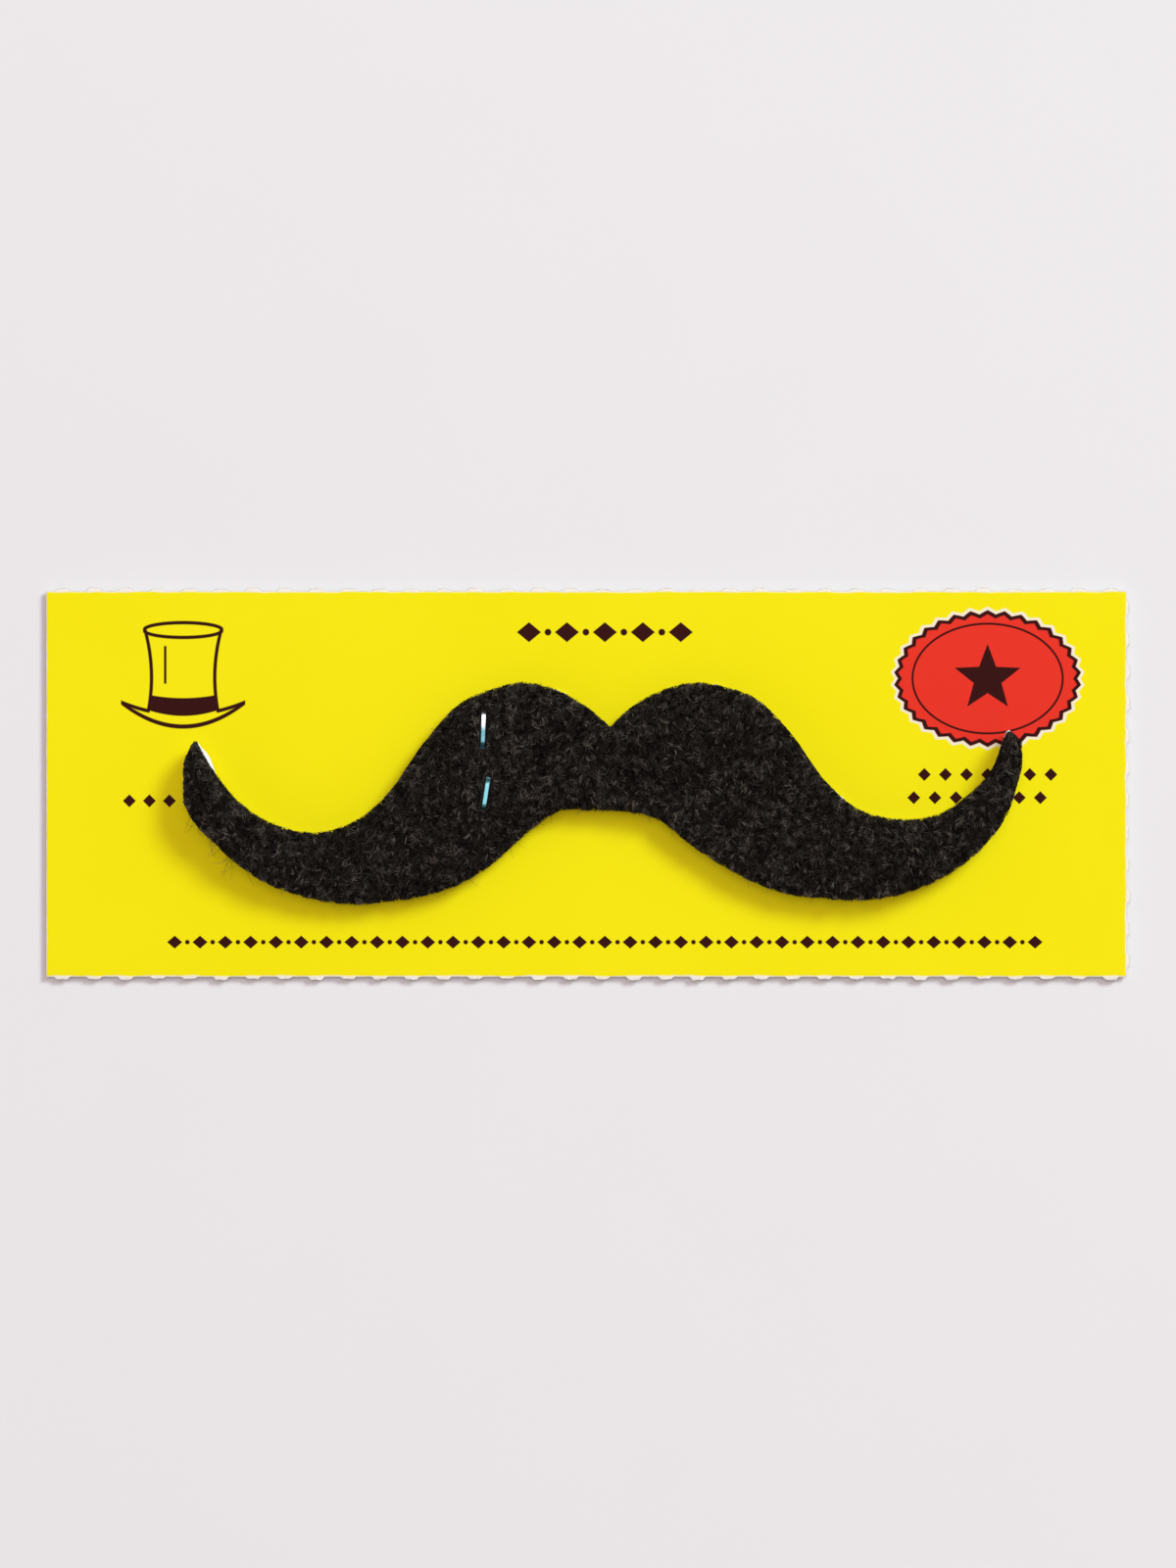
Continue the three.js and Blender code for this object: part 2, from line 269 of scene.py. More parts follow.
# A closed body between two edges: at each x a ring runs low to high along the floor and back over the top.
def columnBody(x, low, high, shares, floorAt, topAt):
    y = low[:, None] + (high - low)[:, None] * shares[None, :]
    across = np.broadcast_to(x[:, None], y.shape)
    floor = np.stack([across, y, floorAt(across, y)], axis=-1)
    top = np.stack([across, y, topAt(across, y)], axis=-1)[:, ::-1]
    rings = np.concatenate([floor, top], axis=1)
    return rings, tubeFaces(*rings.shape[:2])


# The staple's place, from the imported parts

staple = {
    "lean": (-0.1 * mm, 0.45 * mm),  # how far the upper and the lower folded end lie to the side
    "fold": (3.4 * mm, 2.9 * mm),  # their lengths
    "dip": 0.15 * mm,  # the ends point down into the hair
    "bend": 0.45 * mm,  # radius of the bends
    "bendPoints": 10,
    "spacing": 0.12 * mm,  # between the sections of a straight run
    "bevel": 0.55 * mm,  # the chisel point's length
    "pointShare": 0.12,  # of the thickness, left at the very point
    "squareness": 0.3,  # power of the section's superellipse: 1 is round, less is squarer
    "sides": 32,
    "bendHighlight": (1.6 * mm, 0.4 * mm),  # below the upper bend a painted highlight lightens the plating between these
    "tarnish": (0.4 * mm, 1.2 * mm),  # and above the floor it dulls between these
}
wireRadius = 0.25 * mm
crown = {
    "x": stapleLow[0] + wireRadius - staple["lean"][0],
    "lowerY": stapleLow[1] + wireRadius,
    "upperY": stapleHigh[1] - wireRadius,
}
foldLevel = stapleHigh[2] - wireRadius
foldedEnds = np.array([
    [(crown["x"], crown["upperY"]), (crown["x"] + staple["lean"][0], crown["upperY"] - staple["fold"][0])],
    [(crown["x"], crown["lowerY"]), (crown["x"] + staple["lean"][1], crown["lowerY"] + staple["fold"][1])],
])


# The moustache's outline, from the imported parts

outline = {
    "scallop": 0.2 * mm,  # depth of the notch that a groove leaves in the cut edge
    "endRound": 0.25 * mm,  # the corners of a wing's end are rounded over this length
    "endWidth": 0.88,  # share of the width left at the very end
    "byStaple": 3.0 * mm,  # where the staple's holes and troughs are left out of the outline
    "holeReach": 0.5 * mm,
    "tipFullness": 0.3 * mm,  # the right wing's end is this much blunter on its inner side
    "tipFullAt": 1.65 * mm,  # in from the very end
    "tipFullReach": 0.85 * mm,
    "leastHalf": 0.12 * mm,  # the cloth is nowhere narrower than twice this
    "underside": 0.02 * mm,  # what is this near the lowest point belongs to the flat underside
    "sameColumn": 0.002 * mm,
    "sameLevel": 0.01 * mm,
}


def columnsOf(node):  # x, lower edge, upper edge and level of the node's underside, at each of its columns
    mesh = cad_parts[node].data
    coords = np.empty(len(mesh.vertices) * 3, dtype=np.float32)
    mesh.vertices.foreach_get("co", coords)
    x, y, z = coords.reshape(-1, 3).astype(float).T
    fromHoles = np.hypot(x - crown["x"], np.minimum(abs(y - crown["lowerY"]), abs(y - crown["upperY"])))
    plain = (z < z.min() + outline["underside"]) & (fromHoles > outline["holeReach"])
    kept = plain | (abs(x - crown["x"]) > outline["byStaple"])
    order = np.argsort(x[kept], kind="stable")
    x, y, z = x[kept][order], y[kept][order], z[kept][order]
    first = np.diff(x, prepend=-1.0) > outline["sameColumn"]
    starts = np.flatnonzero(first)
    level = np.minimum.reduceat(z, starts)
    under = z < level[np.cumsum(first) - 1] + outline["sameLevel"]
    low = np.minimum.reduceat(np.where(under, y, np.inf), starts)
    high = np.maximum.reduceat(np.where(under, y, -np.inf), starts)
    return x[starts], low, high, level


columnX, columnLow, columnHigh, columnLevel = columnsOf("hair_cloth")
isGroove = np.arange(len(columnX)) % 3 == 0  # a rib has two columns on its back and one in each groove
grooveX = columnX[isGroove]
ribCount = len(grooveX) - 1
plainLow = columnLow - np.where(isGroove, outline["scallop"], 0)
plainHigh = columnHigh + np.where(isGroove, outline["scallop"], 0)
leftEnd, rightEnd = columnX[0], columnX[-1]
print("outline read:", len(columnX), "columns,", ribCount, "ribs")


def liftAt(x):  # how far the wings have sprung off the card
    return np.interp(x, columnX, columnLevel - clothLow[2])


def ribShare(x):  # 0 in one groove, 1 in the next
    count = np.interp(x, grooveX, np.arange(ribCount + 1))
    return np.clip(count - np.floor(np.minimum(count, ribCount - 1e-6)), 0, 1)


def ribBack(x):  # half a circle over each rib: 0 in the grooves, 1 on the back
    share = ribShare(x)
    return np.sqrt(np.clip(4 * share * (1 - share), 0, 1))


# A smooth curve through the columns: between two, a cubic with the slopes that the curve has at both.
def alongColumns(x, values, slopes):
    x = np.clip(x, leftEnd, rightEnd)
    k = np.clip(np.searchsorted(columnX, x, side="right") - 1, 0, len(columnX) - 2)
    step = columnX[k + 1] - columnX[k]
    t = (x - columnX[k]) / step
    rest = 1 - t
    return (values[k] * rest**2 * (1 + 2 * t) + values[k + 1] * t**2 * (1 + 2 * rest)
            + step * t * rest * (slopes[k] * rest - slopes[k + 1] * t))


lowSlope, highSlope = np.gradient(plainLow, columnX), np.gradient(plainHigh, columnX)


def cutEdges(x, scalloped=1.0):  # the cloth's lower and upper edge at x, with that share of the ribs' notches
    low = alongColumns(x, plainLow, lowSlope)
    high = alongColumns(x, plainHigh, highSlope)
    fromFullest = (rightEnd - x - outline["tipFullAt"]) / outline["tipFullReach"]
    high = high + outline["tipFullness"] * np.clip(1 - fromFullest**2, 0, 1)
    notch = outline["scallop"] * scalloped * (1 - ribBack(x))
    fromEnd = np.clip(np.minimum(x - leftEnd, rightEnd - x) / outline["endRound"], 0, 1)
    width = outline["endWidth"] + (1 - outline["endWidth"]) * np.sqrt(1 - (1 - fromEnd) ** 2)
    middle = (low + high) / 2
    half = np.maximum((high - low) / 2 * width - notch, outline["leastHalf"])
    return middle - half, middle + half


def ribStations(perRib):  # x at even shares of every rib
    return np.interp(np.arange(ribCount * perRib + 1) / perRib, np.arange(ribCount + 1), grooveX)


# The card ticket

cardTicket = {
    "pitch": 3.0 * mm,  # of the perforation
    "tie": 1.5 * mm,  # uncut bridge between two slits, torn through
    "nib": 0.3 * mm,  # how far a torn bridge stands out
    "nibLeast": 0.6,  # the shortest nib, as a share of that
    "nibTaper": 0.25 * mm,
    "step": 0.12 * mm,  # between points round the edge
    "ragged": 0.05 * mm,  # torn fibres at a nib's end
    "cut": 0.006 * mm,  # unevenness of a clean cut
    "fine": (5, 1.2),  # unevenness that differs over the thickness: points that it runs over, and strength
    "coarse": 9,  # and points that the rest runs over
    "sideFrom": 2,  # row of the profile at which the board's side begins
    "printFrom": 10,  # and the print on the front
    "dentDepth": 0.15 * mm,  # where the staple's crown is pressed in
    "dentRim": 0.3 * mm,
    "seed": 11,
}
# The dent's profile: share of the way in, share of the depth.
dentProfile = [(0.0, 0.0), (0.35, 0.06), (0.7, 0.45), (1.0, 1.0)]
# The edge's profile, from the back round to the front: inset, share of the thickness, share of the nib.
cardProfile = np.array([
    (0.90 * mm, 0.00, 0.0),
    (0.30 * mm, 0.00, 0.9),
    (0.08 * mm, 0.01, 1.0),
    (0.02 * mm, 0.06, 1.0),
    (0.00 * mm, 0.20, 1.0),
    (0.00 * mm, 0.36, 1.0),
    (0.00 * mm, 0.52, 1.0),
    (0.00 * mm, 0.68, 1.0),
    (0.00 * mm, 0.82, 1.0),
    (0.01 * mm, 0.93, 1.0),
    (0.06 * mm, 0.99, 1.0),
    (0.30 * mm, 1.00, 0.9),
    (0.90 * mm, 1.00, 0.0),
])


def smoothed(noise, width):
    kernel = np.hanning(width + 2)[1:-1]
    return np.apply_along_axis(lambda row: np.convolve(row, kernel / kernel.sum(), "same"), -1, noise)


# One side of the ticket as rows of (x, y, outward x, outward y, nib height, raggedness).
def cardSide(start, end, torn, draw):
    length = np.hypot(*(end - start))
    along = np.arange(0, length - cardTicket["step"] / 2, cardTicket["step"])
    direction = (end - start) / length
    outward = np.array([direction[1], -direction[0]])
    pitch = length / max(1, round(length / cardTicket["pitch"]))
    fromTie = np.abs((along / pitch) % 1 - 0.5) * pitch
    rise = np.clip((cardTicket["tie"] / 2 - fromTie) / cardTicket["nibTaper"], 0, 1) * torn
    heights = draw.uniform(cardTicket["nibLeast"], 1.0, int(length / pitch) + 2)
    tieHeights = heights[(along / pitch).astype(int)]
    points = start + along[:, None] * direction
    side = np.broadcast_to(outward, points.shape)
    ragged = cardTicket["cut"] + (cardTicket["ragged"] - cardTicket["cut"]) * rise
    return np.column_stack([points, side, rise * tieHeights * cardTicket["nib"], ragged])


def stadium(halfWidth, count=64):  # loop of that half width round the staple's crown, seen from above
    turn = np.linspace(0, 2 * np.pi, count, endpoint=False) + np.pi / count
    y = np.where(np.sin(turn) > 0, crown["upperY"], crown["lowerY"]) + halfWidth * np.sin(turn)
    return np.column_stack([crown["x"] + halfWidth * np.cos(turn), y])


def makeCardTicket():
    draw = np.random.default_rng(cardTicket["seed"])
    nib = cardTicket["nib"]
    left, right = cardLow[0], cardHigh[0] - nib
    low, high = cardLow[1] + nib, cardHigh[1] - nib
    corners = np.array([(left, low), (right, low), (right, high), (left, high)])
    torn = (1, 1, 1, 0)  # the left edge was cut clean
    sides = [cardSide(corners[k], corners[(k + 1) % 4], torn[k], draw) for k in range(4)]
    rim = np.concatenate(sides)
    count = len(rim)
    runs, strength = cardTicket["fine"]
    rag = smoothed(draw.standard_normal((len(cardProfile), count)), runs) * strength
    rag = rag + smoothed(draw.standard_normal(count), cardTicket["coarse"])[None, :]
    centre = np.array([(left + right) / 2, (low + high) / 2])
    size = np.array([right - left, high - low])
    inset, up, nibShare = (cardProfile[:, k] for k in range(3))
    shrink = 1 - 2 * inset[:, None, None] / size
    flat = centre + (rim[None, :, :2] - centre) * shrink
    outward = (rim[:, 4] * nibShare[:, None] + rim[:, 5] * rag * (nibShare[:, None] == 1))[:, :, None]
    flat = flat + outward * rim[None, :, 2:4]
    height = cardLow[2] + up * (cardHigh[2] - cardLow[2])
    rings = np.concatenate([flat, np.broadcast_to(height[:, None, None], (len(up), count, 1))], axis=2)

    # the back, with the dent of the staple's crown in it
    dents = []
    for inward, deep in dentProfile:
        loop = stadium(wireRadius + cardTicket["dentRim"] * (1 - inward))
        level = np.full((len(loop), 1), cardLow[2] + deep * cardTicket["dentDepth"])
        dents.append(np.concatenate([loop, level], axis=1))
    dents = np.concatenate(dents)
    firstDent = rings.shape[0] * count
    loopCount = len(loop)
    points = np.concatenate([rings.reshape(-1, 3), dents])
    loops = [[Vector(p) for p in rings[0]], [Vector(p) for p in dents[:loopCount]]]
    back = np.array(tessellate_polygon(loops))
    back = np.where(back >= count, back - count + firstDent, back)
    walls = gridQuads(len(dentProfile), loopCount, closed=True) + firstDent
    floor = np.arange(firstDent + (len(dentProfile) - 1) * loopCount, len(points))[None, :]
    under = [facingDown(points, face) for face in (back, walls, floor)]
    edge = gridQuads(rings.shape[0], count, closed=True)
    front = np.arange((rings.shape[0] - 1) * count, rings.shape[0] * count)[None, :]
    row = np.arange(len(edge)) // count
    printSlot, pulpSlot, backSlot = range(3)
    edgeSlots = np.where(row < cardTicket["sideFrom"], backSlot, pulpSlot)
    edgeSlots[row >= cardTicket["printFrom"]] = printSlot
    slots = [np.full(len(face), backSlot) for face in under] + [edgeSlots, [printSlot]]
    piece = buildPiece("cardTicket", points, [*under, edge, front],
                       [printedFrontFinish(), boardEdgeFinish(), boardBackFinish()],
                       sharpAngle=0.7, slots=slots)
    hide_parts("card_ticket")
    print("card ticket made,", len(points), "points")


def facingDown(points, faces):  # turns the faces whose normals point up
    a, b, c = (points[faces[:, k]] for k in (0, 1, 2))
    upward = np.cross(b - a, c - a)[:, 2] > 0
    return np.where(upward[:, None], faces[:, ::-1], faces)


# The print on the ticket, in millimetres on the card.
printed = {
    "yellow": (0.885, 0.80, 0.001, 1),
    "yellowPale": (0.905, 0.83, 0.004, 1),
    "ink": (0.034, 0.004, 0.003, 1),
    "red": (0.78, 0.035, 0.018, 1),
    "paperWhite": (0.86, 0.84, 0.76, 1),
    "line": 0.17,  # half a drawn line's width
    "soft": 0.05,  # how soft its edge is
}
badge = {
    "at": (37.9, 10.0),
    "half": (8.9, 6.5),  # its half axes
    "teeth": 34,
    "toothDepth": 0.4,
    "halo": (0.32, 0.8),  # bare paper round it: how far, and how bare
    "rimLine": 0.2,
    "ring": 0.8,  # share of the half axes
    "ringLine": 0.1,
    "starPoints": 5,
    "starRadius": 3.3,
    "starNotch": 0.42,  # from the middle to an inner corner, as a share of the radius
}
hat = {
    "at": (-38.4, 6.2),  # the middle of its brim, from which the rest is measured
    "waist": (3.9, 3.0, 0.03),  # its height, the crown's half width there, and how that widens up and down
    "brimBack": (0.35, 0.035),  # a parabola: its height in the middle, and its curve
    "brimFront": (-0.75, 0.066),
    "brimBolder": (1.1, 1.25),  # than a plain line, these two
    "brimHalf": 5.9,
    "sidesBelow": 0.15,  # the sides run down so far past the brim's back
    "top": 8.4,
    "lid": (3.65, 0.7),  # half axes
    "bandLow": (0.25, 0.05),  # parabolas too
    "bandHigh": (1.95, 0.03),
    "shine": (-1.7, 3.3, 6.9),  # an upright line: where it stands, its lower and its upper end
    "shineLine": 0.12,
}
# Rows of lozenges: middle, half length, pitch, a lozenge's half width and height, and the dot between two.
printedRows = [
    {"at": (1.6, 14.4), "half": 9.2, "pitch": 3.6, "size": (1.15, 0.95), "dot": 0.32},
    {"at": (1.6, -15.0), "half": 42.0, "pitch": 2.4, "size": (0.72, 0.62), "dot": 0.22},
    {"at": (37.9, 0.9), "half": 7.6, "pitch": 2.0, "size": (0.62, 0.62), "dot": 0.0},
    {"at": (36.9, -1.3), "half": 7.6, "pitch": 2.0, "size": (0.62, 0.62), "dot": 0.0},
    {"at": (-41.6, -1.6), "half": 2.4, "pitch": 1.9, "size": (0.62, 0.62), "dot": 0.0},
]


def drawnLine(distance, width=None):  # ink where the distance is less than the width
    half = width or printed["line"]
    return 1 - abs(distance).between(half - printed["soft"], half + printed["soft"])


def filled(distance):  # ink where the signed distance is below 0
    return 1 - distance.between(-printed["soft"], printed["soft"])


def ellipseDistance(x, y, halfWide, halfHigh):  # signed, and nearly true by the line
    reach = ((x / halfWide) ** 2 + (y / halfHigh) ** 2) ** 0.5
    slope = ((x / halfWide**2) ** 2 + (y / halfHigh**2) ** 2 + 1e-6) ** 0.5
    return (reach - 1) * reach / slope


def parabola(x, shape):  # shape: its height in the middle, and its curve
    return shape[0] + shape[1] * x**2


def badgeMasks(finish, x, y):  # a toothed oval with a ring and a plain star: distances to rim, ring and star
    bx, by = x - badge["at"][0], y - badge["at"][1]
    wide, high = badge["half"]
    turn = finish.maths("ARCTAN2", by / high, bx / wide)
    tooth = abs((turn * (badge["teeth"] / (2 * np.pi))).maths("FRACT") - 0.5) * 2
    rim = ellipseDistance(bx, by, wide, high) + badge["toothDepth"] * tooth
    ring = ellipseDistance(bx, by, wide * badge["ring"], high * badge["ring"])
    # within half a point's share of a turn from its middle, the star ends at a straight line
    share = 2 * np.pi / badge["starPoints"]
    radius = (bx**2 + by**2) ** 0.5
    angle = finish.maths("ARCTAN2", by, bx)
    swing = abs(((angle - np.pi / 2) * (1 / share) + 0.5).maths("FRACT") - 0.5) * share
    starX, starY = radius * swing.maths("COSINE"), radius * swing.maths("SINE")
    notch = badge["starNotch"] * badge["starRadius"]
    innerX, innerY = notch * np.cos(share / 2), notch * np.sin(share / 2)
    edge = unit(np.array([innerY, badge["starRadius"] - innerX]))
    star = (starX - badge["starRadius"]) * float(edge[0]) + starY * float(edge[1])
    return rim, ring, star


def hatMask(x, y):  # a top hat drawn in line: a waisted crown with its band, on a brim that turns up
    hx, hy = x - hat["at"][0], y - hat["at"][1]
    waistAt, waist, widening = hat["waist"]
    wide = waist + (hy - waistAt) ** 2 * widening
    inside = filled(abs(hx) - wide + printed["soft"])
    brimBack, brimFront = parabola(hx, hat["brimBack"]), parabola(hx, hat["brimFront"])
    bolderBack, bolderFront = hat["brimBolder"]
    brim = drawnLine((hy - brimBack) / bolderBack) * (1 - inside)
    brim = brim.highest(drawnLine((hy - brimFront) / bolderFront)) * filled(abs(hx) - hat["brimHalf"])
    upright = filled(brimBack - hy - hat["sidesBelow"]) * filled(hy - hat["top"] - printed["soft"])
    sides = drawnLine(abs(hx) - wide) * upright
    lid = drawnLine(ellipseDistance(hx, hy - hat["top"], *hat["lid"]))
    band = inside * filled(parabola(hx, hat["bandLow"]) - hy) * filled(hy - parabola(hx, hat["bandHigh"]))
    shineAt, low, high = hat["shine"]
    fade = 2 * printed["soft"]
    shine = drawnLine(hx - shineAt, hat["shineLine"]) * hy.between(low - fade, low + fade)
    shine = shine * (1 - hy.between(high - fade, high + fade))
    return sides.highest(lid).highest(band).highest(brim).highest(shine)


def rowMask(x, y, row):  # lozenges at even steps, whole at both ends, with a dot between two
    (middleX, middleY), pitch, (wide, high) = row["at"], row["pitch"], row["size"]
    steps = int(row["half"] / pitch)
    fx, fy = x - middleX, y - middleY
    beside = fx.maths("PINGPONG", pitch / 2)  # 0 on a lozenge, half a pitch between two
    inRow = 1 - (abs(fx) / pitch - steps).between(0.4, 0.5)
    lozenges = filled(beside / wide + abs(fy) / high - 1) * inRow
    if not row["dot"]:
        return lozenges
    betweenTwo = 1 - (abs(fx) / pitch - steps).between(0.0, 0.1)
    dots = filled(((pitch / 2 - beside) ** 2 + fy**2) ** 0.5 - row["dot"]) * betweenTwo
    return lozenges.highest(dots)


def printedFrontFinish():
    finish = Finish("printedYellowCard")
    x, y, _ = (part * (1 / mm) for part in finish.parts(finish.place()))
    mottle = finish.noise(420.0, 4.0, 0.6)
    grain = finish.noise(9000.0, 3.0, 0.6)
    cloudy = finish.noise(45.0, 2.0, 0.5)
    paleness = cloudy.between(0.35, 0.65) * 0.5 + mottle * 0.4
    yellow = finish.blend(paleness, printed["yellow"], printed["yellowPale"])
    rim, ring, star = badgeMasks(finish, x, y)
    haloReach, bareness = badge["halo"]
    colour = finish.blend(filled(rim - haloReach) * bareness, yellow, printed["paperWhite"])
    colour = finish.blend(filled(rim), colour, printed["red"])
    ink = drawnLine(rim + badge["rimLine"], badge["rimLine"]).highest(drawnLine(ring, badge["ringLine"]))
    ink = ink.highest(filled(star))
    ink = ink.highest(hatMask(x, y))
    for row in printedRows:
        ink = ink.highest(rowMask(x, y, row))
    colour = finish.blend(ink, colour, printed["ink"])
    # the ink is rubbed off the very edge, where the board's fibres were torn
    fromEdge = (cardHigh[0] / mm - x).lowest(y - cardLow[1] / mm).lowest(cardHigh[1] / mm - y)
    fromEdge = fromEdge.lowest((x - cardLow[0] / mm) + 0.35)
    rubbed = 1 - (fromEdge + mottle * 0.35 + grain * 0.3).between(0.62, 0.82)
    colour = finish.blend(rubbed, colour, printed["paperWhite"])
    roughness = 0.46 + 0.12 * mottle + 0.1 * rubbed
    normal = finish.bump(mottle * 0.6 + grain * 0.4, 0.012 * mm, 0.6)
    return finish.finish(baseColour=colour, roughness=roughness, normal=normal, specular=0.05)


def boardEdgeFinish():  # grey-white pulp in pressed layers
    finish = Finish("cardPulp")
    layers = finish.noise(2600.0, 4.0, 0.65, stretch=(0.5, 0.5, 6.0))
    specks = finish.noise(12000.0, 2.0, 0.5)
    colour = finish.blend(layers.between(0.3, 0.7), (0.62, 0.60, 0.53, 1), (0.83, 0.81, 0.72, 1))
    normal = finish.bump(layers * 0.7 + specks * 0.3, 0.03 * mm, 0.8)
    return finish.finish(baseColour=colour, roughness=0.9, normal=normal)


def boardBackFinish():  # uncoated side: pale grey with fine fibres
    finish = Finish("cardBackBoard")
    cloudy = finish.noise(160.0, 4.0, 0.6)
    fibres = finish.noise(5200.0, 4.0, 0.7, stretch=(1.0, 0.28, 1.0))
    dark = fibres.between(0.62, 0.72) * 0.35
    base = finish.blend(cloudy, (0.66, 0.64, 0.58, 1), (0.76, 0.74, 0.67, 1))
    colour = finish.blend(dark, base, (0.40, 0.38, 0.34, 1))
    normal = finish.bump(fibres, 0.02 * mm, 0.7)
    return finish.finish(baseColour=colour, roughness=0.88, normal=normal)


# The staple


def roundedPath(corners):  # straight runs joined by parabolic bends
    pieces, start = [], corners[0]
    radius, spacing = staple["bend"], staple["spacing"]
    share = np.linspace(0, 1, staple["bendPoints"])[:, None]
    for before, corner, after in zip(corners[:-2], corners[1:-1], corners[2:]):
        into = corner - radius * (corner - before) / np.linalg.norm(corner - before)
        out = corner + radius * (after - corner) / np.linalg.norm(after - corner)
        count = max(2, int(np.linalg.norm(into - start) / spacing))
        pieces.append(start + (into - start) * np.linspace(0, 1, count, endpoint=False)[:, None])
        pieces.append((1 - share) ** 2 * into + 2 * share * (1 - share) * corner + share**2 * out)
        start = out
    count = max(2, int(np.linalg.norm(corners[-1] - start) / spacing))
    pieces.append(start + (corners[-1] - start) * np.linspace(0, 1, count + 1)[1:, None])
    return np.concatenate(pieces)


def makeStaple():
    x, low, high = crown["x"], crown["lowerY"], crown["upperY"]
    (_, upperTip), (_, lowerTip) = foldedEnds
    corners = np.array([
        (*upperTip, foldLevel - staple["dip"]),
        (x, high, foldLevel),
        (x, high, wireRadius),
        (x, low, wireRadius),
        (x, low, foldLevel),
        (*lowerTip, foldLevel - staple["dip"]),
    ])
    path = roundedPath(corners)
    tangent = unit(np.gradient(path, axis=0))
    side = unit(np.array([1.0, 0, 0]) - tangent * tangent[:, :1])
    other = np.cross(tangent, side)
    travelled = np.concatenate([[0], np.cumsum(np.linalg.norm(np.diff(path, axis=0), axis=1))])
    fromEnd = np.minimum(travelled, travelled[-1] - travelled)
    # the wire is cut to a wedge at both ends
    chisel = np.clip(fromEnd / staple["bevel"], staple["pointShare"], 1)
    turn = np.linspace(0, 2 * np.pi, staple["sides"], endpoint=False)
    rolled = [np.sign(v) * abs(v) ** staple["squareness"] for v in (np.cos(turn), np.sin(turn))]
    wide = wireRadius * rolled[0][None, :, None] * side[:, None, :]
    tall = wireRadius * rolled[1][None, :, None] * other[:, None, :] * chisel[:, None, None]
    rings = path[:, None, :] + wide + tall
    faces = tubeFaces(*rings.shape[:2])
    piece = buildPiece("stapleWire", rings, faces, [platedWireFinish()], sharpAngle=0.9)
    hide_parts("staple")
    print("staple made,", len(piece.data.vertices), "points")


def platedWireFinish():
    finish = Finish("zincPlatedWire")
    _, y, z = finish.parts(finish.place())
    drawn = finish.noise(2200.0, 3.0, 0.6, stretch=(1.0, 0.08, 1.0))
    dull = finish.noise(700.0, 3.0, 0.6)
    colour = finish.blend(dull.between(0.4, 0.7), (0.10, 0.31, 0.34, 1), (0.22, 0.44, 0.47, 1))
    # a painted highlight lightens the upper leg below its bend; the crown, near the floor, is pale plating
    # too, and the rest is the darker teal plating
    dim, full = (crown["upperY"] - below for below in staple["bendHighlight"])
    # painted highlight below the upper bend, joined with the crown's pale plating
    paintedHighlightAndCrown = (y + dull * 0.5 * mm).between(dim, full)
    paintedHighlightAndCrown = paintedHighlightAndCrown.highest(1 - z.between(*staple["tarnish"]))
    colour = finish.blend(paintedHighlightAndCrown, colour, (0.88, 0.94, 0.97, 1))
    normal = finish.bump(drawn, 0.006 * mm, 0.4)
    return finish.finish(baseColour=colour, metallic=1.0, roughness=0.32 + 0.1 * dull, normal=normal)


# The release paper

releasePaper = {
    "strip": 3.0 * mm,  # how far from a wing's end it can show
    "stripFade": 0.7 * mm,
    "droop": 0.14,  # how far its free edge hangs down under a wing, as a share of the wing's lift
    "droopWidth": 0.6 * mm,
    "thickness": 0.15 * mm,
    "hidden": 0.1 * mm,  # elsewhere it stops this far inside the cloth's edge
    "perRib": 6,
    "across": 21,
}
# Small places where the paper's edge catches the light above the cloth: x, half length, height.
paperGlints = [
    {"x": -2.5 * mm, "half": 0.8 * mm, "by": 0.22 * mm},
    {"x": 12.2 * mm, "half": 0.5 * mm, "by": 0.14 * mm},
    {"x": 23.9 * mm, "half": 0.7 * mm, "by": 0.30 * mm},
]


def makeReleasePaper():
    paperX, _, paperHighEdge, _ = columnsOf("backing_paper")
    x = ribStations(releasePaper["perRib"])
    clothLowEdge, clothHighEdge = cutEdges(x)
    past = np.maximum(np.interp(x, paperX, paperHighEdge - alongColumns(paperX, plainHigh, highSlope)), 0)
    fromEnd = np.minimum(x - leftEnd, rightEnd - x)
    past = past * np.clip((releasePaper["strip"] - fromEnd) / releasePaper["stripFade"], 0, 1)
    for glint in paperGlints:
        near = np.clip(1 - ((x - glint["x"]) / glint["half"]) ** 2, 0, 1)
        past = np.maximum(past, glint["by"] * near)
    hidden = releasePaper["hidden"]
    low = clothLowEdge + hidden
    high = clothHighEdge - hidden * (1 - np.clip(past / hidden, 0, 1)) + past
    shares = np.linspace(0, 1, releasePaper["across"])

    def rise(across, y):  # the lift of the wings, less the droop of the free edge
        free = np.clip((y - np.interp(across, x, clothHighEdge)) / releasePaper["droopWidth"], 0, 1)
        return liftAt(across) * (1 - releasePaper["droop"] * free)

    rings, faces = columnBody(
        x, low, high, shares,
        lambda across, y: paperLow[2] + rise(across, y),
        lambda across, y: paperLow[2] + releasePaper["thickness"] + rise(across, y),
    )
    piece = buildPiece("releasePaper", rings, faces, [releasePaperFinish()], sharpAngle=0.6)
    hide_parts("backing_paper")
    print("release paper made")


def releasePaperFinish():
    finish = Finish("glazedReleasePaper")
    fibres = finish.noise(3000.0, 4.0, 0.6, stretch=(1.0, 0.4, 1.0))
    cloudy = finish.noise(300.0, 3.0, 0.5)
    colour = finish.blend(cloudy, (0.88, 0.92, 0.95, 1), (0.95, 0.96, 0.96, 1))
    normal = finish.bump(fibres, 0.006 * mm, 0.5)
    return finish.finish(baseColour=colour, roughness=0.3 + 0.15 * fibres, normal=normal, coat=0.3)


